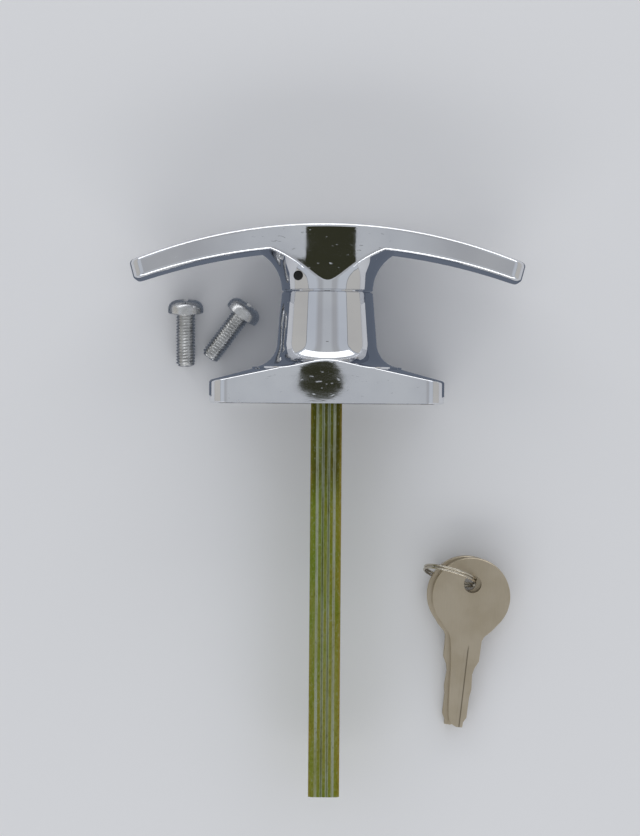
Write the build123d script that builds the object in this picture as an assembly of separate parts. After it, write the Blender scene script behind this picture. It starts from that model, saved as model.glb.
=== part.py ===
from build123d import *
import os
from math import asin, cos, degrees, radians, sin, sqrt, tan

# A T handle lock for a garage door, lying on its side with its keys and screws.
# The spindle runs along Y, the handle's front faces +Y, and the bar lies along X.
# The origin is where the spindle's axis crosses the back face that meets the door.

# Fits and gaps
running = 0.05          # radial play of a part that turns in its bore
seat_gap = 0.03         # play of a part that is fixed in its seat
end_gap = 0.05          # play along the axis between turning faces
joint_gap = 0.25        # the visible line between the handle and the base
rest_gap = 0.02         # a loose piece lies this far above the surface
reach = 80.0            # longer than any cut through the lock has to be
over = 1.0              # how far a cut or a joined piece runs past its face

# Base plate with its neck
base_length = 60.0
base_width = 30.0
base_corner = 5.0
base_end_height = 5.3
roof_top_height = 9.3
roof_top_x = 11.0
crown_end = 0.6
crown_top = 1.8
base_back_edge = 0.3
base_top_edge = 0.6
base_wall = 2.2
neck_top = 28.75
neck_top_radius = 11.75
neck_foot_radius = 12.8
neck_foot_height = 15.8
foot_fillet = 6.5
neck_lip = 0.4
pocket_roof = 6.2
pocket_slope_x = 13.0
bore_radius = 9.0

# Fixing screws and the bosses that take them
screw_spacing = 40.0
screw_radius = 2.5
screw_length = 14.0
tap_radius = 2.1
tap_depth = 6.0
boss_radius = 4.6
head_radius = 4.6
head_height = 3.4
head_edge = 1.0
screw_point = 0.6
recess_width = 1.2
recess_length = 5.0
recess_depth = 1.8
screw_places = ((-37.0, 23.5, -90), (-22.5, 23.0, -127))

# T bar and hub
bar_span = 101.9
bar_front = 46.2
bar_front_radius = 134.5
bar_thickness = 6.4
bar_back_radius = 144.7
bar_half_width = 12.0
bar_side_radius = 350.0
bar_end_slant = 15.0
bar_corner = 3.5
bar_front_edge = 1.1
bar_back_edge = 1.1
hub_radius = 11.75
hub_flare = 11.0
hub_edge = 0.25

# Stem, thrust washer and clip
stem_end = 2.0
washer_margin = 1.0
washer_thickness = 1.0
clip_thickness = 0.95
clip_margin = 1.0
clip_groove_depth = 0.85
clip_mouth = 4.0

# Spindle and its cross pin
spindle_side = 8.0
spindle_reach = 101.3
spindle_top = 14.8
spindle_chamfer = 0.6
groove_depth = 0.22
groove_offsets = (0.73, 2.2)
groove_widths = (0.5, 0.8)
cross_pin_radius = 1.5
cross_pin_height = 8.5
cross_pin_recess = 0.25

# Lock barrel and plug
barrel_radius = 7.47
barrel_tail_radius = 6.55
barrel_face = 45.9
flange_radius = 8.2
flange_thickness = 1.0
barrel_shoulder = 30.5
barrel_end = 25.0
barrel_floor = 2.1
plug_radius = 5.2
plug_recess = 0.2
plug_tail_radius = 3.2
plug_tail_end = 22.6
plug_clip_thickness = 0.6
plug_clip_radius = 4.4
plug_clip_depth = 0.6
side_pin_radius = 1.2
side_pin_x = -7.5
side_pin_height = 32.6
side_pin_outer = 8.2
side_pin_inner = -5.0
pin_edge = 0.15
face_edge = 0.3

# Wafers, springs and the key that they fit
key_thickness = 2.0
key_slack = 0.1
keyway_depth = 17.0
keyway_low = -3.3
keyway_high = 3.1
wafer_count = 5
wafer_pitch = 2.6
wafer_first = 2.5
wafer_thickness = 1.0
wafer_width = 4.8
wafer_travel = 0.6
wafer_window_low = -3.5
wafer_window_high = 3.3
wafer_ear = 1.8
wafer_ear_height = 1.0
wafer_slack = 0.05
channel_slack = 0.2
spring_radius = 0.48
spring_wire = 0.16
spring_length = 2.2

# Locking bolt
bolt_travel = 1.7
bolt_centre = 19.6
bolt_thickness = 3.9
bolt_width = 6.8
bolt_back = 4.6
bolt_slack = 0.05
drive_pin_radius = 1.0
drive_slack = 0.12
notch_count = 4
notch_slack = 0.2

# Keys on their ring
bow_radius = 10.2
key_hole_radius = 2.3
key_hole_up = 3.3
key_tip = 34.7
key_groove_width = 1.1
key_groove_depth = 0.35
key_groove_start = 13.0
key_groove_x = 0.3
key_edge = 0.15
key_gap = 0.3
key_tilt = 5.3
key_turn = -6.05
key_place = (38.2, -49.7)
second_key_shift = -1.3
ring_radius = 6.7
ring_wire = 0.9
ring_coil = 0.82
ring_coil_gap = 0.06
ring_lean = 12.4
ring_turn = -16.5
ring_reach = (0.1, 0.1)

# Worked out from the sizes above
surface = -base_width / 2
hub_bottom = neck_top + joint_gap
stem_radius = bore_radius - running
socket_side = spindle_side + 2 * seat_gap
plug_face = barrel_face - plug_recess
plug_end = barrel_end + barrel_floor + end_gap
drive_radius = bolt_travel / sqrt(2)
bolt_tip = stem_radius - running
bolt_low = bolt_centre - bolt_thickness / 2
bolt_high = bolt_centre + bolt_thickness / 2
washer_top = pocket_roof - end_gap
washer_radius = base_width / 2 - base_wall - washer_margin
clip_radius = washer_radius - clip_margin
clip_top = washer_top - washer_thickness - end_gap
keyway_width = key_thickness + 2 * key_slack


def cylinder_y(radius, low, high, x=0.0, z=0.0):
    """A round bar along the spindle axis, from one height to another."""
    return Pos(x, (low + high) / 2, z) * Rot(90, 0, 0) * Cylinder(radius, high - low)


def block(x, y, z):
    """A box from its lowest and highest value on each axis."""
    size = (x[1] - x[0], y[1] - y[0], z[1] - z[0])
    middle = (sum(x) / 2, sum(y) / 2, sum(z) / 2)
    return Pos(*middle) * Box(*size)


def plan_prism(sketch):
    """A sketch drawn in X and Z, made into a long prism along Y."""
    return extrude(Plane.XZ * sketch, amount=reach, both=True)


def around(shape, count):
    """Copies of a shape, evenly spaced round the spindle axis."""
    return [Rot(0, 360 / count * i, 0) * shape for i in range(count)]


def roof_section(x, height, crown):
    """One upright section of the base plate: straight sides and a crowned top."""
    half = base_width / 2
    plane = Plane(origin=(x, 0, 0), x_dir=(0, 0, 1), z_dir=(-1, 0, 0))
    sides = Polyline((half, height), (half, 0), (-half, 0), (-half, height))
    crowned = ThreePointArc((-half, height), (0, height + crown), (half, height))
    return plane * make_face(sides + crowned)


def base_body():
    """The plate: level under the neck, falling away to both ends."""
    end = base_length / 2
    low = (base_end_height, crown_end)
    high = (roof_top_height, crown_top)
    stations = [(-end, *low), (-roof_top_x, *high), (roof_top_x, *high), (end, *low)]
    body = loft([roof_section(*s) for s in stations], ruled=True)
    body &= plan_prism(RectangleRounded(base_length, base_width, base_corner))
    roof = body.faces().filter_by(lambda f: f.normal_at(None).Y > 0.5)
    level_x = base_length / 2 - base_corner
    level_z = base_width / 2 - base_corner
    brim = [e for e in roof.edges() if abs((e @ 0.5).X) > level_x or abs((e @ 0.5).Z) > level_z]
    return fillet(brim, base_top_edge)


def neck_body():
    """The tapered neck and the wide concave foot that runs into the plate."""
    foot_x = neck_foot_radius + foot_fillet
    foot_y = neck_foot_height - foot_fillet
    middle = foot_fillet * (1 - cos(radians(45)))
    outline = Polyline(
        (foot_x, foot_y),
        (foot_x, base_end_height),
        (0, base_end_height),
        (0, neck_top),
        (neck_top_radius - neck_lip, neck_top),
        (neck_top_radius, neck_top - neck_lip),
        (neck_foot_radius, neck_foot_height),
    )
    foot = ThreePointArc(
        (neck_foot_radius, neck_foot_height),
        (neck_foot_radius + middle, foot_y + middle),
        (foot_x, foot_y),
    )
    neck = revolve(make_face(outline + foot), Axis.Y)
    neck &= plan_prism(Rectangle(base_length, base_width))
    sides = neck.faces().sort_by(Axis.Z)
    brims = [e for side in (sides[0], sides[-1]) for e in side.edges() if (e @ 0.5).Y > foot_y]
    return fillet(brims, base_top_edge)


def back_pocket():
    """The hollow in the back of the plate, under a roof that follows the outside."""
    end = base_length / 2 - base_wall
    edge = base_end_height - base_wall
    outline = Polygon(
        (-end, -over),
        (-end, edge),
        (-pocket_slope_x, pocket_roof),
        (pocket_slope_x, pocket_roof),
        (end, edge),
        (end, -over),
        align=None,
    )
    pocket = extrude(outline, amount=base_width, both=True)
    inner = RectangleRounded(2 * end, base_width - 2 * base_wall, base_corner - base_wall)
    return pocket & plan_prism(inner)


def bolt_notch():
    """One notch in the neck's bore, which the locking bolt's nose enters."""
    half = bolt_width / 2 + notch_slack
    nose = bolt_tip + bolt_travel + notch_slack
    return block((0, nose), (bolt_low - notch_slack, bolt_high + notch_slack), (-half, half))


def make_base_plate():
    plate = base_body()
    plate = chamfer(plate.faces().sort_by(Axis.Y)[0].edges(), base_back_edge)
    body = plate + neck_body()
    body -= back_pocket()
    for x in (-screw_spacing / 2, screw_spacing / 2):
        body += cylinder_y(boss_radius, 0, pocket_roof, x)
        body -= cylinder_y(tap_radius, -over, tap_depth, x)
    body -= cylinder_y(bore_radius, 0, neck_top + over)
    for notch in around(bolt_notch(), notch_count):
        body -= notch
    return body


def bar_plan():
    """The bar seen from the front: widest at the hub, with bowed sides."""
    shift = bar_side_radius - bar_half_width
    lens = Pos(0, -shift) * Circle(bar_side_radius) & Pos(0, shift) * Circle(bar_side_radius)
    return lens & Rectangle(bar_span, bar_side_radius)


def bar_body():
    """The bar: a crescent from the side, cut to its outline from the front."""
    front = Pos(0, bar_front - bar_front_radius) * Circle(bar_front_radius)
    back_centre = bar_front - bar_thickness - bar_back_radius
    back = Pos(0, back_centre) * Circle(bar_back_radius)
    tip_x = bar_span / 2
    tip_drop = bar_front_radius - sqrt(bar_front_radius**2 - tip_x**2)
    tip_y = bar_front - tip_drop
    slant = tan(radians(bar_end_slant))
    high = bar_front + over
    low = hub_bottom
    wide = tip_x + (high - tip_y) * slant
    narrow = tip_x - (tip_y - low) * slant
    ends = Polygon((-wide, high), (-narrow, low), (narrow, low), (wide, high), align=None)
    bar = extrude((front - back) & ends, amount=reach, both=True)
    return bar & plan_prism(bar_plan())


def hub_body():
    """The round hub, flaring into the underside of the bar."""
    centre_x = hub_radius + hub_flare
    middle = hub_flare * cos(radians(45))
    top = hub_bottom + hub_flare
    inside = bar_front - bar_thickness + over
    outline = Polyline(
        (centre_x, top),
        (centre_x, inside),
        (0, inside),
        (0, hub_bottom),
        (hub_radius - hub_edge, hub_bottom),
        (hub_radius, hub_bottom + hub_edge),
    )
    flare = ThreePointArc(
        (hub_radius, hub_bottom + hub_edge),
        (centre_x - middle, hub_bottom + middle),
        (centre_x, top),
    )
    return revolve(make_face(outline + flare), Axis.Y) & plan_prism(bar_plan())


def bar_with_hub():
    """Bar and hub in one, with round ends and soft edges behind, at the hub and in front."""
    bar = bar_body()
    ends = bar.faces().sort_by(Axis.X)[0].edges() + bar.faces().sort_by(Axis.X)[-1].edges()
    body = fillet([e for e in ends if abs((e @ 1 - e @ 0).Z) < bar_corner], bar_corner) + hub_body()
    sides = body.faces().filter_by(lambda f: abs(f.normal_at(None).Z) > 0.9)
    back = [e for e in sides.edges() if (e @ 0.5).Y < bar_front - bar_thickness]
    round_end = bar_span / 2 - 2 * bar_corner
    body = fillet([e for e in back if abs((e @ 0.5).X) < round_end], bar_back_edge)
    front = body.faces().sort_by(Axis.Y)[-1]
    return fillet(front.edges(), bar_front_edge)


def make_t_handle():
    body = bar_with_hub()
    body += cylinder_y(stem_radius, stem_end, hub_bottom + over)
    body -= cylinder_y(flange_radius + seat_gap, barrel_face - flange_thickness, bar_front + over)
    body -= cylinder_y(barrel_radius + seat_gap, barrel_shoulder, bar_front)
    body -= cylinder_y(barrel_tail_radius + seat_gap, plug_tail_end - end_gap, barrel_shoulder)
    body -= cylinder_y(plug_clip_radius, bolt_centre, barrel_end)
    half = bolt_width / 2 + bolt_slack
    heights = (bolt_low - bolt_slack, bolt_high + bolt_slack)
    body -= block((-bolt_back - bolt_slack, reach), heights, (-half, half)) & stem_room()
    side = socket_side / 2
    body -= block((-side, side), (0, spindle_top + end_gap), (-side, side))
    body -= along_z(cross_pin_radius + seat_gap, 0, cross_pin_height, -reach, reach)
    body -= side_pin_hole()
    groove = cylinder_y(bore_radius, clip_top - clip_thickness - end_gap, clip_top + end_gap)
    groove -= cylinder_y(stem_radius - clip_groove_depth, 0, hub_bottom)
    return body - groove


def stem_room():
    """The space that the stem fills inside the neck."""
    return cylinder_y(bore_radius, 0, hub_bottom)


def along_z(radius, x, y, low, high):
    """A round bar along Z, for the two pins and their holes."""
    return Pos(x, y, (low + high) / 2) * Cylinder(radius, high - low)


def side_pin_hole():
    radius = side_pin_radius + seat_gap
    return along_z(radius, side_pin_x, side_pin_height, side_pin_inner - end_gap, reach)


def make_barrel_pin():
    pin = along_z(side_pin_radius, side_pin_x, side_pin_height, side_pin_inner, side_pin_outer)
    return chamfer(pin.edges(), pin_edge)


def make_thrust_washer():
    ring = cylinder_y(washer_radius, washer_top - washer_thickness, washer_top)
    return ring - cylinder_y(bore_radius, 0, pocket_roof)


def make_stem_clip():
    """A circlip in the stem's groove, with its open mouth."""
    inner = stem_radius - clip_groove_depth + seat_gap
    ring = cylinder_y(clip_radius, clip_top - clip_thickness, clip_top)
    ring -= cylinder_y(inner, 0, pocket_roof)
    half = clip_mouth / 2
    return ring - block((-half, half), (0, pocket_roof), (0, reach))


def spindle_section():
    """The square section with its long grooves, alike on all four faces."""
    section = Rectangle(spindle_side, spindle_side)
    edge = spindle_side / 2
    for i in range(4):
        for offset, width in zip(groove_offsets, groove_widths):
            for place in (-offset, offset):
                notch = Polygon(
                    (place - width / 2, edge + groove_depth),
                    (place - width / 2, edge),
                    (place, edge - groove_depth),
                    (place + width / 2, edge),
                    (place + width / 2, edge + groove_depth),
                    align=None,
                )
                section -= Rot(0, 0, 90 * i) * notch
    return section


def make_spindle():
    length = spindle_reach + spindle_top
    top = Plane((0, spindle_top, 0), x_dir=(1, 0, 0), z_dir=(0, -1, 0))
    bar = extrude(top * spindle_section(), amount=length)
    end = -spindle_reach
    corner = spindle_side / 2 * sqrt(2)
    cone = Pos(0, end, 0) * Rot(-90, 0, 0) * Cone(
        corner - spindle_chamfer,
        corner + reach,
        reach + spindle_chamfer,
        align=(Align.CENTER, Align.CENTER, Align.MIN),
    )
    hole = along_z(cross_pin_radius + seat_gap, 0, cross_pin_height, -reach, reach)
    near_end = block((-corner, corner), (end, end + 2 * spindle_chamfer), (-corner, corner))
    return bar - (near_end - cone) - hole


def make_spindle_pin():
    half = stem_radius - cross_pin_recess
    pin = along_z(cross_pin_radius, 0, cross_pin_height, -half, half)
    return chamfer(pin.edges(), pin_edge)


def wafer_heights():
    first = plug_face - wafer_first
    return [first - wafer_pitch * i for i in range(wafer_count)]


def barrel_channels():
    """Channels along the barrel's bore that the wafers rise into, on three sides."""
    half = wafer_width / 2 + channel_slack
    top = plug_radius + wafer_travel + channel_slack
    low = wafer_heights()[-1] - wafer_thickness
    high = wafer_heights()[0] + wafer_thickness
    channel = block((-half, half), (low, high), (0, top))
    return [Rot(0, turn, 0) * channel for turn in (0, 90, 180)]


def make_lock_barrel():
    body = cylinder_y(barrel_radius, barrel_shoulder + seat_gap, barrel_face)
    flange_low = barrel_face - flange_thickness + seat_gap
    flange = cylinder_y(flange_radius, flange_low, barrel_face)
    body += chamfer(flange.edges().sort_by(Axis.Y)[-1], face_edge)
    body += cylinder_y(barrel_tail_radius, barrel_end, barrel_shoulder + over)
    body -= cylinder_y(plug_radius + running, barrel_end + barrel_floor, barrel_face + over)
    body -= cylinder_y(plug_tail_radius + running, barrel_end - over, barrel_face)
    for channel in barrel_channels():
        body -= channel
    return body - side_pin_hole()


def wafer_slot(height):
    """The slit through the plug for one wafer, with its spring's pocket."""
    half = wafer_width / 2 + wafer_slack
    thick = wafer_thickness / 2 + wafer_slack
    heights = (height - thick, height + thick)
    slit = block((-half, half), heights, (-reach, reach))
    low = -spring_length - 2 * wafer_slack
    high = wafer_ear_height + wafer_travel + wafer_slack
    pocket = block((0, wafer_width / 2 + wafer_ear + wafer_slack), heights, (low, high))
    return slit + pocket


def make_lock_plug():
    """The turning plug: keyway, wafer slits, tail, and the pin that drives the bolt."""
    body = cylinder_y(plug_radius, plug_end, plug_face)
    body = chamfer(body.edges().sort_by(Axis.Y)[-1], pin_edge)
    half = keyway_width / 2
    bottom = plug_face - keyway_depth
    body -= block((-half, half), (bottom, plug_face + over), (keyway_low, keyway_high))
    for height in wafer_heights():
        body -= wafer_slot(height)
    body += cylinder_y(plug_tail_radius, plug_tail_end, plug_end)
    clip_high = barrel_end - end_gap
    groove = cylinder_y(plug_tail_radius + over, clip_high - plug_clip_thickness - end_gap, clip_high)
    groove -= cylinder_y(plug_tail_radius - plug_clip_depth, plug_tail_end, plug_end)
    body -= groove
    place = drive_radius / sqrt(2)
    return body + cylinder_y(drive_pin_radius, bolt_low, plug_tail_end, -place, place)


def make_plug_clip():
    high = barrel_end - 2 * end_gap
    ring = cylinder_y(plug_clip_radius - end_gap, high - plug_clip_thickness + end_gap, high)
    inner = plug_tail_radius - plug_clip_depth + seat_gap
    ring -= cylinder_y(inner, plug_tail_end, barrel_end)
    return ring - block((-inner / 2, inner / 2), (plug_tail_end, barrel_end), (0, reach))


def make_wafer(height):
    """A thin plate with round ends, a window for the key and an ear for the spring."""
    round_end = Circle(plug_radius - wafer_slack) & Rectangle(wafer_width, 2 * plug_radius)
    ear_x = wafer_width / 2 + wafer_ear / 2
    ear = Pos(ear_x, wafer_ear_height / 2) * Rectangle(wafer_ear, wafer_ear_height)
    middle = (wafer_window_low + wafer_window_high) / 2
    opening = wafer_window_high - wafer_window_low
    window = Pos(0, middle) * Rectangle(keyway_width, opening)
    face = Plane((0, height, 0), x_dir=(1, 0, 0), z_dir=(0, -1, 0)) * (round_end + ear - window)
    return extrude(face, amount=wafer_thickness / 2, both=True)


def make_wafer_springs():
    """One small spring under each wafer's ear."""
    x = wafer_width / 2 + wafer_ear / 2
    top = -wafer_slack
    springs = []
    for height in wafer_heights():
        tube = along_z(spring_radius, x, height, top - spring_length, top)
        tube -= along_z(spring_radius - spring_wire, x, height, -reach, reach)
        springs.append(tube)
    return Compound(children=springs)


def make_locking_bolt():
    """The bolt that slides out of the stem; the plug's drive pin moves it in a slot."""
    half = bolt_width / 2
    body = block((-bolt_back, bolt_tip), (bolt_low, bolt_high), (-half, half))
    body &= cylinder_y(bolt_tip, bolt_low, bolt_high)
    place = drive_radius / sqrt(2)
    room = drive_pin_radius + drive_slack
    across = (-place - room, -place + room)
    along = (place - room, drive_radius + room)
    return body - block(across, (bolt_low - over, bolt_high + over), along)


def key_outline():
    """The key seen flat, bow up and tip down, cuts on the right."""
    blade = Polygon(
        (0, 0), (-8.7, -4.9), (-6.9, -7.7), (-4.9, -9.9), (-4.2, -11.6),
        (-3.8, -14.0), (-3.2, -18.8), (-2.8, -26.1), (-2.4, -31.4), (-1.75, -33.7),
        (0.1, -key_tip), (1.7, -key_tip + 0.1), (1.75, -33.3), (2.5, -31.9),
        (2.55, -26.5), (2.9, -24.5), (2.65, -20.4), (3.0, -18.8), (4.0, -16.8),
        (4.1, -11.4), (4.6, -10.2), (6.4, -8.4), (8.2, -6.0),
        align=None,
    )
    return Circle(bow_radius) + blade


def key_blank():
    body = extrude(key_outline(), amount=key_thickness)
    edges = body.faces().sort_by(Axis.Z)[-1].edges() + body.faces().sort_by(Axis.Z)[0].edges()
    body = chamfer(edges, key_edge)
    body -= Pos(0, key_hole_up, 0) * Cylinder(key_hole_radius, 3 * key_thickness)
    length = key_tip - key_groove_start
    centre = -key_groove_start - length / 2 - over
    for level in (0, key_thickness):
        groove = Box(key_groove_width, length, 2 * key_groove_depth)
        body -= Pos(key_groove_x, centre, level) * groove
    return body


def key_pose(level, shift):
    """Where a key lies: its tip on the surface and its bow raised by the ring."""
    lift = surface + key_tip * sin(radians(key_tilt)) + rest_gap
    place = Pos(key_place[0], key_place[1], lift)
    return place * Rot(0, 0, key_turn) * Rot(key_tilt, 0, 0) * Pos(shift, 0, level)


def make_key_front():
    return key_pose(key_thickness + key_gap, 0) * key_blank()


def make_key_back():
    """The same key turned over, so that its cuts point left."""
    turned_over = Pos(0, 0, key_thickness) * Rot(0, 180, 0) * key_blank()
    return key_pose(0, second_key_shift) * turned_over


def make_key_ring():
    """A split ring: two flat coils of one wire, standing up through both bows."""
    pitch = ring_coil + ring_coil_gap
    path = Helix(pitch=pitch, height=2 * pitch, radius=ring_radius)
    section = Plane(path @ 0, x_dir=(1, 0, 0), z_dir=path % 0) * Rectangle(ring_wire, ring_coil)
    coil = Pos(0, 0, -pitch) * sweep(section, path=path, is_frenet=True)
    hole = key_pose(key_thickness + key_gap / 2, 0) * Pos(0, key_hole_up, 0)
    lean = radians(ring_lean)
    outer = ring_radius + ring_wire / 2
    centre_z = surface + outer * cos(lean) + (ring_coil * 1.5 + ring_coil_gap) * sin(lean)
    below = (centre_z - hole.position.Z) / cos(lean)
    turn = radians(ring_turn)
    out = ring_radius * cos(asin(below / ring_radius))
    back = below * sin(lean)
    x = hole.position.X + ring_reach[0] - out * cos(turn) - back * sin(turn)
    y = hole.position.Y + ring_reach[1] - out * sin(turn) + back * cos(turn)
    stand = Rot(0, 0, ring_turn) * Rot(90 - ring_lean, 0, 0)
    return Pos(x, y, centre_z) * stand * coil


def screw_body():
    """A pan head screw along X, head at the left, its recess a plain cross."""
    shank = Rot(0, 90, 0) * Cylinder(
        screw_radius, screw_length, align=(Align.CENTER, Align.CENTER, Align.MIN)
    )
    shank = chamfer(shank.edges().sort_by(Axis.X)[-1], screw_point)
    head = Rot(0, -90, 0) * Cylinder(
        head_radius, head_height, align=(Align.CENTER, Align.CENTER, Align.MIN)
    )
    head = chamfer(head.edges().sort_by(Axis.X)[0], head_edge)
    body = shank + head
    for turn in (0, 90):
        slot = Pos(-head_height, 0, 0) * Rot(turn, 0, 0)
        body -= slot * Box(2 * recess_depth, recess_length, recess_width)
    return body


def make_fixing_screws():
    """Both screws, lying on the surface beside the neck."""
    dip = degrees(asin((head_radius - screw_radius) / (screw_length + head_height / 2)))
    height = surface + head_radius * cos(radians(dip))
    height += head_height / 2 * sin(radians(dip)) + rest_gap
    screws = []
    for x, y, turn in screw_places:
        screws.append(Pos(x, y, height) * Rot(0, 0, turn) * Rot(0, dip, 0) * screw_body())
    return Compound(children=screws)


def all_pieces():
    pieces = {
        "base_plate": make_base_plate(),
        "t_handle": make_t_handle(),
        "lock_barrel": make_lock_barrel(),
        "barrel_pin": make_barrel_pin(),
        "thrust_washer": make_thrust_washer(),
        "stem_clip": make_stem_clip(),
        "spindle": make_spindle(),
        "spindle_pin": make_spindle_pin(),
        "lock_plug": make_lock_plug(),
        "plug_clip": make_plug_clip(),
        "wafer_springs": make_wafer_springs(),
        "locking_bolt": make_locking_bolt(),
        "key_front": make_key_front(),
        "key_back": make_key_back(),
        "key_ring": make_key_ring(),
        "fixing_screws": make_fixing_screws(),
    }
    for number, height in enumerate(wafer_heights(), 1):
        pieces[f"wafer_{number}"] = make_wafer(height)
    return pieces


os.makedirs("parts", exist_ok=True)
for name, piece in all_pieces().items():
    export_step(piece, f"parts/{name}.step")
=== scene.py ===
"""Garage door T handle lock: finishes, key ring, threaded screws, coil springs and a studio."""

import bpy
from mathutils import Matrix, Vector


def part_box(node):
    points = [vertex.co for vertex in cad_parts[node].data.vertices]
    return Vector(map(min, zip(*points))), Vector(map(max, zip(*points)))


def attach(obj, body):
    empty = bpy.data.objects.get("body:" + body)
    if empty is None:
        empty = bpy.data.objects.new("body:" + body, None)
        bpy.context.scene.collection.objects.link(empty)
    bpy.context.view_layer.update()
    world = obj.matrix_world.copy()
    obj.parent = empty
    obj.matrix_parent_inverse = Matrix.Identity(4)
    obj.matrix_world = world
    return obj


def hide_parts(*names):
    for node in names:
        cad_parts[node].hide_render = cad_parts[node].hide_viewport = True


bl_info = {
    "name": "T Handle Lock",
    "version": (1, 0, 0),
    "blender": (4, 5, 0),
    "location": "3D View > Sidebar > T Handle Lock",
    "description": "Dresses the packed T handle lock and sets up its studio",
    "category": "Object",
}

import math

import bmesh
import bpy
from bpy.props import FloatProperty, FloatVectorProperty, IntProperty, PointerProperty
from bpy.types import Operator, Panel, PropertyGroup
from mathutils import Matrix, Vector

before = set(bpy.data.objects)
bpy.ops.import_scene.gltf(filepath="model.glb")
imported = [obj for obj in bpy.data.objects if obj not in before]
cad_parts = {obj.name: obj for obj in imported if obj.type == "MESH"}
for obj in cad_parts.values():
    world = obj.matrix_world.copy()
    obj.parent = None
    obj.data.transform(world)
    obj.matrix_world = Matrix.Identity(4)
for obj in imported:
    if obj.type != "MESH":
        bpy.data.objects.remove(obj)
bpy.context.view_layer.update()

# Lengths are in metres and angles in radians, in the part's own frame

MM = 0.001
SURFACE = -15 * MM
REST_GAP = 0.02 * MM
SHARP_ANGLE = math.radians(38)

# A range goes from nothing to full; a stripe is its place off the middle and its half width

SPINDLE_SIDE = 8 * MM
SPINDLE_CORNER = 0.7 * MM
SPINDLE_FACES = (3.6 * MM, 3.7 * MM)
SPINDLE_DARKENS = (-27 * MM, -17 * MM)
# Where the painted highlight along the spindle's grooves lies
INNER_STRIPE = (0.73 * MM, 0.33 * MM)
OUTER_STRIPE = (2.2 * MM, 0.34 * MM)

KEY_PLACE = (38.2 * MM, -49.7 * MM, -11.8 * MM)
KEY_TURNS = (math.radians(5.3), 0, math.radians(-6.05))
# Where the painted groove shade lies on the front key
KEY_GROOVE_EDGE = 0.85 * MM
KEY_GROOVE_START = (-12.6 * MM, -13.6 * MM)

RING_LEAN = math.radians(90 - 12.4)
RING_TURN = math.radians(-16.5)
RING_SMOOTHING = 0.7
PIN_ROUGHNESS = 0.45
WAFERS = 5

SCREW_TIP = 0.6 * MM
SCREW_SIDES = 40
THREAD_ROWS = 8
THREAD_STEEPNESS = 1.2
SCREW_PLACES = (
    (-37.0 * MM, 23.5 * MM, math.radians(-90)),
    (-22.5 * MM, 23.0 * MM, math.radians(-127)),
)

FLOOR_REACH = 3.0
CARD_HEIGHT = 0.79
ROUND_CARD_MIDDLE = (-0.00175, 0.0154)
ROUND_CARD_RADIUS = 0.0107
ROUND_CARD_SIDES = 48
WIDE_CARD = (
    (-0.12, 0.060),
    (0.12, 0.060),
    (0.12, 0.076),
    (0.047, 0.076),
    (0.047, 0.130),
    (-0.033, 0.130),
    (-0.033, 0.076),
    (-0.12, 0.076),
)
DARK_SHEET = ((-0.075, 0.002), (0.075, 0.002), (0.075, 0.044), (-0.075, 0.044))


# Settings


def colour_setting(name, text, default):
    """A colour that a user can change, in linear values."""
    return FloatVectorProperty(
        name=name, description=text, subtype="COLOR", size=3, min=0, max=1, default=default
    )


def length_setting(name, text, default):
    """A length that a user can change, in metres."""
    return FloatProperty(name=name, description=text, unit="LENGTH", min=0, default=default)


def share_setting(name, text, default):
    """A plain share from nothing to all."""
    return FloatProperty(
        name=name, description=text, subtype="FACTOR", min=0, max=1, default=default
    )


def power_setting(name, text, default):
    """A lamp's power that a user can change, in watts."""
    return FloatProperty(name=name, description=text, unit="POWER", min=0, default=default)


class ChromeSettings(PropertyGroup):
    """The bright plate on the two castings and the lock barrel."""

    bright: colour_setting("Bright", "Colour where the plate is clean", (0.78, 0.79, 0.81))
    dull: colour_setting("Dull", "Colour where the plate is a little clouded", (0.70, 0.71, 0.74))
    roughness: share_setting("Roughness", "How much the plate softens reflections", 0.022)
    waviness: share_setting("Waviness", "How far the polished surface is from true", 0.10)


class ZincSettings(PropertyGroup):
    """The yellow zinc plate on the square spindle."""

    green: colour_setting("Green", "The green part of the plate's tint", (0.17, 0.24, 0.018))
    gold: colour_setting("Gold", "The gold part of the plate's tint", (0.25, 0.245, 0.03))
    pale: colour_setting("Pale", "The pale streaks along the bar", (0.36, 0.38, 0.12))
    olive: colour_setting("Olive", "The dark part near the base plate", (0.075, 0.068, 0.008))
    orange: colour_setting("Orange", "The tint along the corners", (0.36, 0.26, 0.05))
    # Painted highlight: this pale colour stands for the light that the groove flanks catch; it
    # also makes random pale specks.
    groove: colour_setting("Groove", "The silvery bottom of the grooves", (0.44, 0.48, 0.37))
    roughness: share_setting("Roughness", "How much the plate softens reflections", 0.34)


class NickelSettings(PropertyGroup):
    """The plated brass of the keys and of the lock plug."""

    clean: colour_setting("Clean", "Colour of the untouched plate", (0.53, 0.46, 0.35))
    rubbed: colour_setting("Rubbed", "Colour where the plate is rubbed", (0.48, 0.41, 0.30))
    # Grime in the fine lines, and the painted shade along the key's groove.
    grime_and_groove_shade: colour_setting("Grime", "Colour in the groove and in fine lines", (0.13, 0.105, 0.07))
    roughness: share_setting("Roughness", "How much the plate softens reflections", 0.38)


class SteelSettings(PropertyGroup):
    """The steels and the brass of the small parts."""

    bright: colour_setting("Bright steel", "Colour of the bright plated steel", (0.70, 0.70, 0.69))
    # Painted shade: the pin is coloured near black so that its recess looks like a dark hole.
    pin: colour_setting("Pin steel", "Colour of the blackened pin in the hub", (0.05, 0.05, 0.048))
    ring: colour_setting("Ring steel", "Colour of the key ring", (0.56, 0.51, 0.42))
    spring: colour_setting("Spring steel", "Colour of the clips and springs", (0.30, 0.30, 0.31))
    brass: colour_setting("Brass", "Colour of the wafers", (0.66, 0.47, 0.20))
    roughness: share_setting("Roughness", "How much the steel softens reflections", 0.30)


class RingSettings(PropertyGroup):
    """The split ring that holds both keys."""

    radius: length_setting("Radius", "From the ring's middle to its wire's middle", 6.83 * MM)
    wire: length_setting("Wire", "Radius of the ring's wire", 0.32 * MM)
    pitch: length_setting("Pitch", "From one coil's middle to the next", 0.72 * MM)


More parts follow.
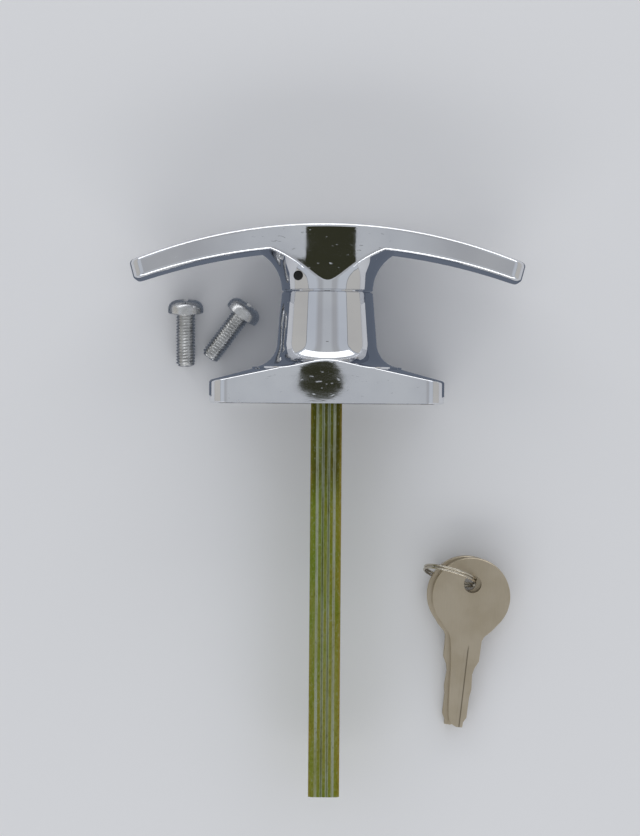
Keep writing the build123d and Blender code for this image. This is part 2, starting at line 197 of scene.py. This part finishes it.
class ScrewSettings(PropertyGroup):
    """The two fixing screws."""

    length: length_setting("Length", "Length below the head", 14 * MM)
    radius: length_setting("Radius", "Radius over the thread", 2.5 * MM)
    head: length_setting("Head", "Radius of the head", 4.6 * MM)
    pitch: length_setting("Thread pitch", "Distance from one thread to the next", 0.8 * MM)
    depth: length_setting("Thread depth", "How deep the thread is cut", 0.45 * MM)


class SpringSettings(PropertyGroup):
    """The five springs under the wafers."""

    turns: IntProperty(name="Turns", description="Turns of one spring", min=2, default=6)
    wire: length_setting("Wire", "Radius of the spring wire", 0.075 * MM)


class StudioSettings(PropertyGroup):
    """The floor, the lamps and the dark cards that the chrome reflects."""

    floor: colour_setting("Floor", "Colour of the floor", (0.80, 0.80, 0.81))
    overhead: colour_setting("Sky", "Light from straight above", (0.52, 0.54, 0.57))
    dim: colour_setting("Dim sky", "Light from a little to each side", (0.43, 0.44, 0.46))
    side: colour_setting("Sides", "Light from both sides", (0.55, 0.58, 0.63))
    horizon: colour_setting("Horizon", "Light from far out on both sides", (0.54, 0.53, 0.51))
    card: colour_setting("Dark card", "Card that the chrome reflects", (0.035, 0.036, 0.022))
    sheet: colour_setting("Dark sheet", "Sheet that the castings reflect", (0.12, 0.14, 0.18))
    key_power: power_setting("Key lamp", "Power of the lamp in front of the handle", 2.2)
    fill_power: power_setting("Fill lamp", "Power of the lamp behind the base plate", 2.4)


class CameraSettings(PropertyGroup):
    """Where the photograph was taken from."""

    distance: length_setting("Distance", "Height above the spindle's axis", 0.8)
    left: length_setting("Left", "How far left of the spindle's axis", 1.65 * MM)
    below: length_setting("Below", "How far behind the plate's back", 3.76 * MM)
    roll: FloatProperty(
        name="Roll",
        description="Turn about the line of sight",
        subtype="ANGLE",
        default=math.radians(0.45),
    )
    lens: FloatProperty(
        name="Lens", description="Focal length in millimetres", unit="CAMERA", default=133.3
    )


# Finishes


class Finish:
    """One procedural material, built from small named steps."""

    def __init__(self, name, roughness, metallic=1.0):
        self.material = bpy.data.materials.new(name)
        self.material.use_nodes = True
        tree = self.material.node_tree
        self.nodes, self.links = tree.nodes, tree.links
        self.shader = self.nodes["Principled BSDF"]
        self.shader.inputs["Metallic"].default_value = metallic
        self.shader.inputs["Roughness"].default_value = roughness
        self.place = self.nodes.new("ShaderNodeTexCoord").outputs["Object"]

    def node(self, kind, inputs, output=0, **settings):
        """Adds one node; an input is a plain value or another node's output."""
        made = self.nodes.new(kind)
        for key, value in settings.items():
            setattr(made, key, value)
        for key, value in inputs.items():
            if isinstance(value, bpy.types.NodeSocket):
                self.links.new(value, made.inputs[key])
            else:
                made.inputs[key].default_value = value
        return made.outputs[output]

    def stretched(self, scale):
        """The place in the object, drawn out by a scale for each axis."""
        return self.node("ShaderNodeMapping", {"Vector": self.place, "Scale": scale})

    def noise(self, scale, detail=2.0, roughness=0.5, stretch=(1, 1, 1)):
        """Cloudy noise with so many clouds a metre."""
        place = self.stretched(stretch)
        values = {"Vector": place, "Scale": scale, "Detail": detail, "Roughness": roughness}
        return self.node("ShaderNodeTexNoise", values)

    def range(self, value, low, high, to_low=0.0, to_high=1.0):
        """A value drawn from one range to another, and kept inside it."""
        values = {"Value": value, "From Min": low, "From Max": high}
        values |= {"To Min": to_low, "To Max": to_high}
        return self.node("ShaderNodeMapRange", values)

    def maths(self, operation, first, second=0.0):
        """Plain arithmetic on two values."""
        return self.node("ShaderNodeMath", {0: first, 1: second}, operation=operation)

    def mix(self, share, first, second):
        """A colour between two colours."""
        made = self.nodes.new("ShaderNodeMix")
        made.data_type = "RGBA"
        for key, value in ((0, share), (6, first), (7, second)):
            if isinstance(value, bpy.types.NodeSocket):
                self.links.new(value, made.inputs[key])
            elif key:
                made.inputs[key].default_value = (*value, 1)
            else:
                made.inputs[key].default_value = value
        return made.outputs[2]

    def axis(self, name, place=None):
        """One coordinate of the place in the object."""
        return self.node("ShaderNodeSeparateXYZ", {0: place or self.place}, output=name)

    def place_from(self, origin, turns):
        """The place as a piece that was turned and then moved would measure it."""
        values = {"Vector": self.place, "Location": origin, "Rotation": turns}
        return self.node("ShaderNodeMapping", values, vector_type="TEXTURE")

    def colour(self, value):
        """Takes the metal's colour from a node's output."""
        self.links.new(value, self.shader.inputs["Base Color"])

    def roughness(self, value):
        """Takes the metal's roughness from a node's output."""
        self.links.new(value, self.shader.inputs["Roughness"])

    def relief(self, height, depth, strength=1.0):
        """Small relief of a given depth in metres."""
        values = {"Height": height, "Distance": depth, "Strength": strength}
        self.links.new(self.node("ShaderNodeBump", values), self.shader.inputs["Normal"])


def chrome_finish(settings):
    """Bright chrome: faint waves from polishing, clouding and a few pits."""
    finish = Finish("chrome_plate", settings.roughness)
    cloud = finish.noise(70, detail=3)
    finish.colour(finish.mix(finish.range(cloud, 0.35, 0.7), settings.bright, settings.dull))
    hair = finish.noise(260, detail=4, roughness=0.6, stretch=(0.25, 1, 1))
    soft = finish.range(hair, 0.3, 0.8, settings.roughness * 0.6, settings.roughness * 2.2)
    specks = finish.noise(1500, detail=1, roughness=0.5, stretch=(0.35, 1, 1))
    pits = finish.range(specks, 0.7, 0.8)
    finish.roughness(finish.maths("ADD", soft, finish.maths("MULTIPLY", pits, 0.25)))
    waves = finish.noise(95, detail=1, roughness=0.4, stretch=(0.5, 1, 1))
    lines = finish.maths("MULTIPLY", hair, 0.12)
    raised = finish.maths("ADD", waves, lines)
    height = finish.maths("SUBTRACT", raised, finish.maths("MULTIPLY", pits, 0.1))
    finish.relief(height, depth=0.25 * MM, strength=settings.waviness)
    return finish.material


def corner_share(finish, side, width):
    """One along the four corners of the square spindle, nothing on its faces."""
    across = finish.maths("ABSOLUTE", finish.axis("X"))
    up = finish.maths("ABSOLUTE", finish.axis("Z"))
    nearest = finish.maths("MINIMUM", across, up)
    return finish.range(nearest, side / 2 - width, side / 2)


def stripe_share(finish, place, half_width):
    """One in a groove on both halves of every long face, nothing beside it or on the ends."""
    across = finish.maths("ABSOLUTE", finish.axis("X"))
    up = finish.maths("ABSOLUTE", finish.axis("Z"))
    away = finish.maths("SUBTRACT", finish.maths("MINIMUM", across, up), place)
    distance = finish.maths("ABSOLUTE", away)
    beside = finish.range(distance, half_width + 0.08 * MM, half_width - 0.06 * MM)
    outside = finish.range(finish.maths("MAXIMUM", across, up), *SPINDLE_FACES)
    return finish.maths("MULTIPLY", beside, outside)


def zinc_finish(settings):
    """Yellow zinc: green and gold streaks, dark by the base plate, and a painted highlight along
    the grooves.
    """
    finish = Finish("yellow_zinc", settings.roughness, metallic=0.95)
    streak = finish.noise(420, detail=4, roughness=0.6, stretch=(1, 0.07, 1))
    blotch = finish.noise(120, detail=3, roughness=0.55, stretch=(1, 0.35, 1))
    tint = finish.mix(finish.range(blotch, 0.38, 0.62), settings.green, settings.gold)
    mottled = finish.mix(finish.range(streak, 0.45, 0.75, 0, 0.6), tint, settings.pale)
    near_plate = finish.range(finish.axis("Y"), *SPINDLE_DARKENS)
    dark = finish.maths("MULTIPLY", near_plate, finish.range(streak, 0.62, 0.4, 0.35, 0.95))
    shaded = finish.mix(dark, mottled, settings.olive)
    corner = corner_share(finish, SPINDLE_SIDE, SPINDLE_CORNER)
    broken_corner = finish.maths("MULTIPLY", corner, finish.range(blotch, 0.4, 0.6, 0.1, 1))
    edged = finish.mix(broken_corner, shaded, settings.orange)
    # Painted highlight: a pale stripe along each groove of the spindle, broken into patches.
    patches = finish.noise(600, detail=3, roughness=0.6, stretch=(1, 0.1, 1))
    highlight_patches = finish.range(patches, 0.3, 0.6, 0.3, 1)
    inner, outer = stripe_share(finish, *INNER_STRIPE), stripe_share(finish, *OUTER_STRIPE)
    bottom = finish.maths("MULTIPLY", finish.maths("MAXIMUM", inner, outer), highlight_patches)
    striped = finish.mix(bottom, edged, settings.groove)
    grain = finish.noise(2400, detail=3, roughness=0.7, stretch=(1, 0.45, 1))
    specked = finish.mix(finish.range(grain, 0.55, 0.75, 0, 0.45), striped, settings.groove)
    finish.colour(finish.mix(finish.range(grain, 0.45, 0.28, 0, 0.5), specked, settings.olive))
    scratch = finish.noise(1600, detail=3, roughness=0.6, stretch=(1, 0.03, 1))
    smooth, rough = settings.roughness * 0.7, settings.roughness * 1.5
    finish.roughness(finish.range(scratch, 0.3, 0.7, smooth, rough))
    height = finish.maths("ADD", scratch, finish.maths("MULTIPLY", streak, 0.6))
    finish.relief(height, depth=0.05 * MM, strength=0.5)
    return finish.material


def nickel_finish(settings, name, groove=False):
    """Satin nickel plate: clouding, fine lines and, on a key, painted shade as a dark line along
    its groove.
    """
    finish = Finish(name, settings.roughness)
    cloud = finish.noise(140, detail=3, roughness=0.5)
    fine = finish.noise(1800, detail=3, roughness=0.6, stretch=(1, 0.06, 1))
    base = finish.mix(finish.range(cloud, 0.4, 0.65), settings.clean, settings.rubbed)
    lined = finish.mix(finish.range(fine, 0.45, 0.8, 0, 0.08), base, settings.grime_and_groove_shade)
    # Painted shade: a dark line along the wall of the key's groove.
    if groove:
        along_key = finish.place_from(KEY_PLACE, KEY_TURNS)
        away = finish.maths("SUBTRACT", finish.axis("X", along_key), KEY_GROOVE_EDGE)
        beside = finish.range(finish.maths("ABSOLUTE", away), 0.22 * MM, 0.06 * MM)
        below = finish.range(finish.axis("Y", along_key), *KEY_GROOVE_START)
        share = finish.maths("MULTIPLY", finish.maths("MULTIPLY", beside, below), 0.65)
        lined = finish.mix(share, lined, settings.grime_and_groove_shade)
    finish.colour(lined)
    smooth, rough = settings.roughness * 0.85, settings.roughness * 1.2
    finish.roughness(finish.range(fine, 0.3, 0.7, smooth, rough))
    height = finish.maths("ADD", fine, finish.maths("MULTIPLY", cloud, 0.5))
    finish.relief(height, depth=0.012 * MM, strength=0.12)
    return finish.material


def plain_metal_finish(name, colour, roughness):
    """A small part's metal, with fine marks and a little staining."""
    finish = Finish(name, roughness)
    stain = finish.noise(380, detail=4, roughness=0.6)
    dark = tuple(0.72 * part for part in colour)
    finish.colour(finish.mix(finish.range(stain, 0.4, 0.75), tuple(colour), dark))
    marks = finish.noise(2200, detail=3, roughness=0.6, stretch=(0.4, 1, 0.4))
    finish.roughness(finish.range(marks, 0.3, 0.75, roughness * 0.7, roughness * 1.5))
    finish.relief(marks, depth=0.03 * MM, strength=0.5)
    return finish.material


def dress(material, *names):
    """Puts a finish on CAD nodes through their own material slots."""
    for name in names:
        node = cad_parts[name]
        if not node.material_slots:
            node.data.materials.append(material)
        for slot in node.material_slots:
            slot.material = material


def settings_of(context):
    """The lock's settings in the open scene."""
    return context.scene.t_handle_lock


# Meshes


def swept_wire(mesh, points, wire, sides):
    """A round wire swept along points that go round the Z axis."""
    rings = []
    for i, point in enumerate(points):
        forward = points[min(i + 1, len(points) - 1)] - points[max(i - 1, 0)]
        outward = Vector((point.x, point.y, 0)).normalized()
        across = forward.normalized().cross(outward)
        ring = []
        for k in range(sides):
            angle = 2 * math.pi * k / sides
            aside = math.cos(angle) * outward + math.sin(angle) * across
            ring.append(mesh.verts.new(point + wire * aside))
        rings.append(ring)
    join_rings(mesh, rings)


def join_rings(mesh, rings):
    """Closes a row of rings into one skin with two flat ends."""
    for one, two in zip(rings, rings[1:]):
        for k in range(len(one)):
            after = (k + 1) % len(one)
            mesh.faces.new((one[k], one[after], two[after], two[k]))
    mesh.faces.new(rings[0])
    mesh.faces.new(rings[-1])


def coil_points(radius, pitch, turns, steps):
    """Points along a coil about the Z axis, with its middle at the origin."""
    points = []
    for i in range(round(turns * steps) + 1):
        turned = i / steps
        angle = 2 * math.pi * turned
        x, y = radius * math.cos(angle), radius * math.sin(angle)
        points.append(Vector((x, y, pitch * (turned - turns / 2))))
    return points


def finished_piece(name, mesh, material, body, node):
    """A smooth piece that stands for a CAD node and moves with its body."""
    bmesh.ops.recalc_face_normals(mesh, faces=mesh.faces[:])
    for face in mesh.faces:
        face.smooth = True
    data = bpy.data.meshes.new(name)
    mesh.to_mesh(data)
    mesh.free()
    data.set_sharp_from_angle(angle=SHARP_ANGLE)
    data.materials.append(material)
    piece = bpy.data.objects.new(name, data)
    bpy.context.scene.collection.objects.link(piece)
    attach(piece, body)
    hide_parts(node)


def split_ring(settings):
    """Two coils of round wire, in the pose of the CAD ring and set down as low as it."""
    mesh = bmesh.new()
    coils = coil_points(settings.radius, settings.pitch, turns=2, steps=96)
    swept_wire(mesh, coils, settings.wire, sides=14)
    low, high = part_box("key_ring")
    place = Matrix.Translation((low + high) / 2)
    place = place @ Matrix.Rotation(RING_TURN, 4, "Z") @ Matrix.Rotation(RING_LEAN, 4, "X")
    bmesh.ops.transform(mesh, matrix=place, verts=mesh.verts)
    drop = min(vertex.co.z for vertex in mesh.verts) - low.z
    bmesh.ops.translate(mesh, vec=(0, 0, -drop), verts=mesh.verts)
    return mesh


def screw_rows(settings):
    """The screw's outline along X, as rows of place, radius and whether there is a thread."""
    head, drawn_head = settings.head, 4.6
    edge = 0.15 * MM
    drawn = ((-3.4, 0.25), (-3.4, 1.9), (-3.25, 2.8), (-2.9, 3.6), (-2.3, 4.25), (-1.5, 4.55))
    outline = [(x * MM, radius / drawn_head * head, False) for x, radius in drawn]
    outline += [(-0.8 * MM, head, False), (-edge, head, False), (0, head - edge, False)]
    outline.append((0, settings.radius, False))
    count = round(settings.length / settings.pitch * THREAD_ROWS)
    for i in range(1, count + 1):
        x = settings.length * i / count
        narrowed = max(0.0, x - settings.length + SCREW_TIP)
        outline.append((x, settings.radius - narrowed, True))
    return outline


def thread_cut(settings, x, angle):
    """How far the thread is cut in at one place: a V with a narrow flat crest."""
    phase = (x / settings.pitch - angle / (2 * math.pi)) % 1
    rise = min(1.0, THREAD_STEEPNESS * abs(2 * phase - 1))
    start = min(1.0, x / settings.pitch)
    return settings.depth * (1 - rise) * start


def threaded_screw(settings):
    """One pan head screw along X, its head at the left."""
    mesh = bmesh.new()
    rings = []
    for x, radius, threaded in screw_rows(settings):
        ring = []
        for k in range(SCREW_SIDES):
            angle = 2 * math.pi * k / SCREW_SIDES
            out = radius - (thread_cut(settings, x, angle) if threaded else 0)
            ring.append(mesh.verts.new((x, out * math.cos(angle), out * math.sin(angle))))
        rings.append(ring)
    join_rings(mesh, rings)
    bmesh.ops.recalc_face_normals(mesh, faces=mesh.faces[:])
    return mesh


def recess_cutter(turn):
    """A cutter for one arm of the cross recess: a bar that narrows as it goes in."""
    mesh = bmesh.new()
    corners = []
    for x, half_length, half_width in ((-4.0, 2.7, 0.68), (-1.7, 1.8, 0.42)):
        for y, z in ((-1, -1), (1, -1), (1, 1), (-1, 1)):
            corners.append(mesh.verts.new((x * MM, y * half_length * MM, z * half_width * MM)))
    join_rings(mesh, [corners[:4], corners[4:]])
    bmesh.ops.recalc_face_normals(mesh, faces=mesh.faces[:])
    bmesh.ops.rotate(mesh, matrix=Matrix.Rotation(turn, 3, "X"), verts=mesh.verts)
    return mesh


def loose_object(name, mesh):
    """A mesh as an object in the scene, used only while the recess is cut."""
    data = bpy.data.meshes.new(name)
    mesh.to_mesh(data)
    mesh.free()
    made = bpy.data.objects.new(name, data)
    bpy.context.scene.collection.objects.link(made)
    return made


def recessed_screw(settings):
    """The screw with its cross recess cut in the head."""
    screw = loose_object("screw_blank", threaded_screw(settings))
    cutters = [loose_object("recess_arm", recess_cutter(turn)) for turn in (0, math.pi / 2)]
    for cutter in cutters:
        cut = screw.modifiers.new("recess", "BOOLEAN")
        cut.object = cutter
        cut.operation = "DIFFERENCE"
        cut.solver = "EXACT"
    graph = bpy.context.evaluated_depsgraph_get()
    cut_mesh = bpy.data.meshes.new_from_object(screw.evaluated_get(graph))
    for used in (screw, *cutters):
        bpy.data.objects.remove(used)
    return cut_mesh


def both_screws(settings):
    """Two screws that lie on the surface, each on its head's rim and its tip."""
    one = recessed_screw(settings)
    reach = settings.length - SCREW_TIP
    dip = math.atan2(settings.head - settings.radius, reach)
    height = SURFACE + settings.head * math.cos(dip) + REST_GAP
    mesh = bmesh.new()
    for x, y, turn in SCREW_PLACES:
        place = Matrix.Translation((x, y, height)) @ Matrix.Rotation(turn, 4, "Z")
        data = one.copy()
        data.transform(place @ Matrix.Rotation(dip, 4, "Y"))
        mesh.from_mesh(data)
    return mesh


def wafer_coils(settings):
    """A coil spring under the ear of each wafer, where the CAD has a tube."""
    mesh = bmesh.new()
    low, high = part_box("wafer_springs")
    length, middle = high.z - low.z, (high + low) / 2
    reach = (high.x - low.x) / 2 - settings.wire
    step = (high.y - low.y - (high.x - low.x)) / (WAFERS - 1)
    pitch = (length - 2 * settings.wire) / settings.turns
    for i in range(-(WAFERS // 2), WAFERS // 2 + 1):
        first = len(mesh.verts)
        points = coil_points(reach, pitch, settings.turns, steps=20)
        swept_wire(mesh, points, settings.wire, sides=8)
        mesh.verts.ensure_lookup_table()
        place = (middle.x, middle.y + i * step, middle.z)
        bmesh.ops.translate(mesh, vec=place, verts=mesh.verts[first:])
    return mesh


# Pieces


class TLOCK_OT_castings(Operator):
    """Chrome on the base plate, the T handle and the lock barrel"""

    bl_idname = "tlock.castings"
    bl_label = "Chrome Castings"

    def execute(self, context):
        dress(chrome_finish(settings_of(context).chrome), "base_plate", "t_handle", "lock_barrel")
        return {"FINISHED"}


class TLOCK_OT_spindle(Operator):
    """Yellow zinc on the square spindle"""

    bl_idname = "tlock.spindle"
    bl_label = "Spindle"

    def execute(self, context):
        dress(zinc_finish(settings_of(context).zinc), "spindle")
        return {"FINISHED"}


class TLOCK_OT_keys(Operator):
    """Nickel on both keys and on the lock plug"""

    bl_idname = "tlock.keys"
    bl_label = "Keys"

    def execute(self, context):
        nickel = settings_of(context).nickel
        dress(nickel_finish(nickel, "key_nickel", groove=True), "key_front", "key_back")
        dress(nickel_finish(nickel, "plug_nickel"), "lock_plug")
        return {"FINISHED"}


class TLOCK_OT_key_ring(Operator):
    """A split ring of round wire through both keys"""

    bl_idname = "tlock.key_ring"
    bl_label = "Key Ring"

    def execute(self, context):
        settings = settings_of(context)
        roughness = settings.steel.roughness * RING_SMOOTHING
        steel = plain_metal_finish("ring_steel", settings.steel.ring, roughness)
        finished_piece("split_ring", split_ring(settings.ring), steel, "ring", "key_ring")
        return {"FINISHED"}


class TLOCK_OT_screws(Operator):
    """Two threaded fixing screws with a cross recess"""

    bl_idname = "tlock.screws"
    bl_label = "Fixing Screws"

    def execute(self, context):
        settings = settings_of(context)
        steel = plain_metal_finish("screw_steel", settings.steel.bright, settings.steel.roughness)
        mesh = both_screws(settings.screws)
        finished_piece("threaded_screws", mesh, steel, "screws", "fixing_screws")
        return {"FINISHED"}


class TLOCK_OT_springs(Operator):
    """Coil springs under the wafers"""

    bl_idname = "tlock.springs"
    bl_label = "Wafer Springs"

    def execute(self, context):
        settings = settings_of(context)
        wire = plain_metal_finish("spring_wire", settings.steel.spring, settings.steel.roughness)
        mesh = wafer_coils(settings.springs)
        finished_piece("coil_springs", mesh, wire, "plug", "wafer_springs")
        return {"FINISHED"}


class TLOCK_OT_small_parts(Operator):
    """Brass wafers and the steel pins, washer, clips and bolt"""

    bl_idname = "tlock.small_parts"
    bl_label = "Small Lock Parts"

    def execute(self, context):
        steel = settings_of(context).steel
        wafers = [f"wafer_{i}" for i in range(1, WAFERS + 1)]
        dress(plain_metal_finish("wafer_brass", steel.brass, steel.roughness), *wafers)
        bright = plain_metal_finish("bright_steel", steel.bright, steel.roughness)
        dress(bright, "spindle_pin", "thrust_washer", "locking_bolt")
        # Painted shade: the barrel pin near black, so that its recess reads as a dark hole.
        dress(plain_metal_finish("pin_hole_shade", steel.pin, PIN_ROUGHNESS), "barrel_pin")
        spring = plain_metal_finish("spring_steel", steel.spring, steel.roughness)
        dress(spring, "stem_clip", "plug_clip")
        return {"FINISHED"}


# Studio


def flat_sheet(name, corners, z, material):
    """A flat sheet at one height, that belongs to the studio."""
    mesh = bpy.data.meshes.new(name)
    mesh.from_pydata([(x, y, z) for x, y in corners], [], [range(len(corners))])
    mesh.materials.append(material)
    sheet = bpy.data.objects.new(name, mesh)
    bpy.context.scene.collection.objects.link(sheet)
    return sheet


def seen_only_in_metal(sheet):
    """Leaves a sheet in reflections only: it is hidden from the camera and casts no shadow."""
    sheet.visible_camera = False
    sheet.visible_diffuse = False
    sheet.visible_shadow = False
    sheet.visible_transmission = False
    sheet.visible_volume_scatter = False


def card_material(name, colour):
    """An even glow in a card's own colour, whatever light falls on it."""
    material = bpy.data.materials.new(name)
    material.use_nodes = True
    nodes = material.node_tree.nodes
    glow = nodes.new("ShaderNodeEmission")
    glow.inputs["Color"].default_value = (*colour, 1)
    material.node_tree.links.new(glow.outputs[0], nodes["Material Output"].inputs["Surface"])
    return material


def floor_material(colour):
    """Pale paper, almost without shine."""
    finish = Finish("pale_floor", roughness=0.8, metallic=0.0)
    finish.shader.inputs["Base Color"].default_value = (*colour, 1)
    finish.shader.inputs["Specular IOR Level"].default_value = 0.1
    return finish.material


def soft_lamp(name, place, size, power):
    """A rectangular soft lamp that faces the lock."""
    light = bpy.data.lights.new(name, "AREA")
    light.shape = "RECTANGLE"
    light.size, light.size_y = size
    light.energy = power
    lamp = bpy.data.objects.new(name, light)
    lamp.location = place
    lamp.rotation_mode = "QUATERNION"
    lamp.rotation_quaternion = (-Vector(place)).to_track_quat("-Z", "Y")
    bpy.context.scene.collection.objects.link(lamp)


def studio_world(settings):
    """Soft light from all round that changes a little towards both sides."""
    world = bpy.data.worlds.new("studio")
    bpy.context.scene.world = world
    world.use_nodes = True
    nodes, links = world.node_tree.nodes, world.node_tree.links
    direction = nodes.new("ShaderNodeTexCoord")
    split = nodes.new("ShaderNodeSeparateXYZ")
    ramp = nodes.new("ShaderNodeValToRGB")
    links.new(direction.outputs["Generated"], split.inputs[0])
    side = nodes.new("ShaderNodeMath")
    side.operation = "ABSOLUTE"
    links.new(split.outputs["X"], side.inputs[0])
    links.new(side.outputs[0], ramp.inputs[0])
    links.new(ramp.outputs[0], nodes["Background"].inputs["Color"])
    seam = tuple(0.25 * part for part in settings.side)
    bands = (
        (0.0, settings.overhead),
        (0.14, settings.overhead),
        (0.24, settings.dim),
        (0.36, settings.dim),
        (0.48, settings.side),
        (0.735, settings.side),
        (0.745, seam),
        (0.755, settings.horizon),
    )
    stops = ramp.color_ramp.elements
    while len(stops) < len(bands):
        stops.new(0.5)
    for stop, (place, _) in zip(stops, bands):
        stop.position = place
    for stop, (_, colour) in zip(stops, bands):
        stop.color = (*colour, 1)
    nodes["Background"].inputs["Strength"].default_value = 1.0


class TLOCK_OT_studio(Operator):
    """Floor, lamps and the dark cards that the chrome reflects"""

    bl_idname = "tlock.studio"
    bl_label = "Studio"

    def execute(self, context):
        studio = settings_of(context).studio
        context.scene.view_settings.view_transform = "Standard"
        reach = FLOOR_REACH
        square = [(-reach, -reach), (reach, -reach), (reach, reach), (-reach, reach)]
        flat_sheet("floor", square, SURFACE, floor_material(studio.floor))
        black = card_material("card_black", studio.card)
        x, y = ROUND_CARD_MIDDLE
        disc = []
        for i in range(ROUND_CARD_SIDES):
            angle = 2 * math.pi * i / ROUND_CARD_SIDES
            along, across = math.cos(angle), math.sin(angle)
            disc.append((x + ROUND_CARD_RADIUS * along, y + ROUND_CARD_RADIUS * across))
        seen_only_in_metal(flat_sheet("round_card", disc, CARD_HEIGHT, black))
        seen_only_in_metal(flat_sheet("wide_card", WIDE_CARD, CARD_HEIGHT, black))
        slate = card_material("sheet_dark", studio.sheet)
        seen_only_in_metal(flat_sheet("dark_sheet", DARK_SHEET, SURFACE + 0.1 * MM, slate))
        studio_world(studio)
        soft_lamp("key_lamp", place=(0, 0.64, 0.27), size=(1.3, 0.36), power=studio.key_power)
        soft_lamp("fill_lamp", place=(0, -0.7, 0.42), size=(1.2, 0.25), power=studio.fill_power)
        return {"FINISHED"}


class TLOCK_OT_camera(Operator):
    """The camera, straight above the lock as in the photograph"""

    bl_idname = "tlock.camera"
    bl_label = "Camera"

    def execute(self, context):
        view = settings_of(context).camera
        data = bpy.data.cameras.new("camera")
        data.lens = view.lens
        data.clip_start = 0.01
        camera = bpy.data.objects.new("camera", data)
        camera.location = (-view.left, -view.below, view.distance)
        camera.rotation_euler = (0, 0, view.roll)
        context.scene.collection.objects.link(camera)
        context.scene.camera = camera
        return {"FINISHED"}


class LockSettings(PropertyGroup):
    """All settings of the lock and its studio."""

    chrome: PointerProperty(type=ChromeSettings)
    zinc: PointerProperty(type=ZincSettings)
    nickel: PointerProperty(type=NickelSettings)
    steel: PointerProperty(type=SteelSettings)
    ring: PointerProperty(type=RingSettings)
    screws: PointerProperty(type=ScrewSettings)
    springs: PointerProperty(type=SpringSettings)
    studio: PointerProperty(type=StudioSettings)
    camera: PointerProperty(type=CameraSettings)


PIECES = (
    TLOCK_OT_castings,
    TLOCK_OT_spindle,
    TLOCK_OT_keys,
    TLOCK_OT_key_ring,
    TLOCK_OT_screws,
    TLOCK_OT_springs,
    TLOCK_OT_small_parts,
    TLOCK_OT_studio,
    TLOCK_OT_camera,
)


class TLOCK_PT_panel(Panel):
    """Lists the lock's pieces in the sidebar"""

    bl_idname = "TLOCK_PT_panel"
    bl_label = "T Handle Lock"
    bl_space_type = "VIEW_3D"
    bl_region_type = "UI"
    bl_category = "T Handle Lock"

    def draw(self, context):
        for piece in PIECES:
            self.layout.operator(piece.bl_idname)


CLASSES = (
    ChromeSettings,
    ZincSettings,
    NickelSettings,
    SteelSettings,
    RingSettings,
    ScrewSettings,
    SpringSettings,
    StudioSettings,
    CameraSettings,
    LockSettings,
    *PIECES,
    TLOCK_PT_panel,
)


def register():
    """Adds the settings, the operators and the panel."""
    for each in CLASSES:
        bpy.utils.register_class(each)
    bpy.types.Scene.t_handle_lock = PointerProperty(type=LockSettings)


def unregister():
    """Takes the panel, the operators and the settings away again."""
    del bpy.types.Scene.t_handle_lock
    for each in reversed(CLASSES):
        bpy.utils.unregister_class(each)


def main():
    """Runs every operator in turn."""
    register()
    bpy.ops.tlock.castings()
    bpy.ops.tlock.spindle()
    bpy.ops.tlock.keys()
    bpy.ops.tlock.key_ring()
    bpy.ops.tlock.screws()
    bpy.ops.tlock.springs()
    bpy.ops.tlock.small_parts()
    bpy.ops.tlock.studio()
    bpy.ops.tlock.camera()


if __name__ == "__main__":
    main()
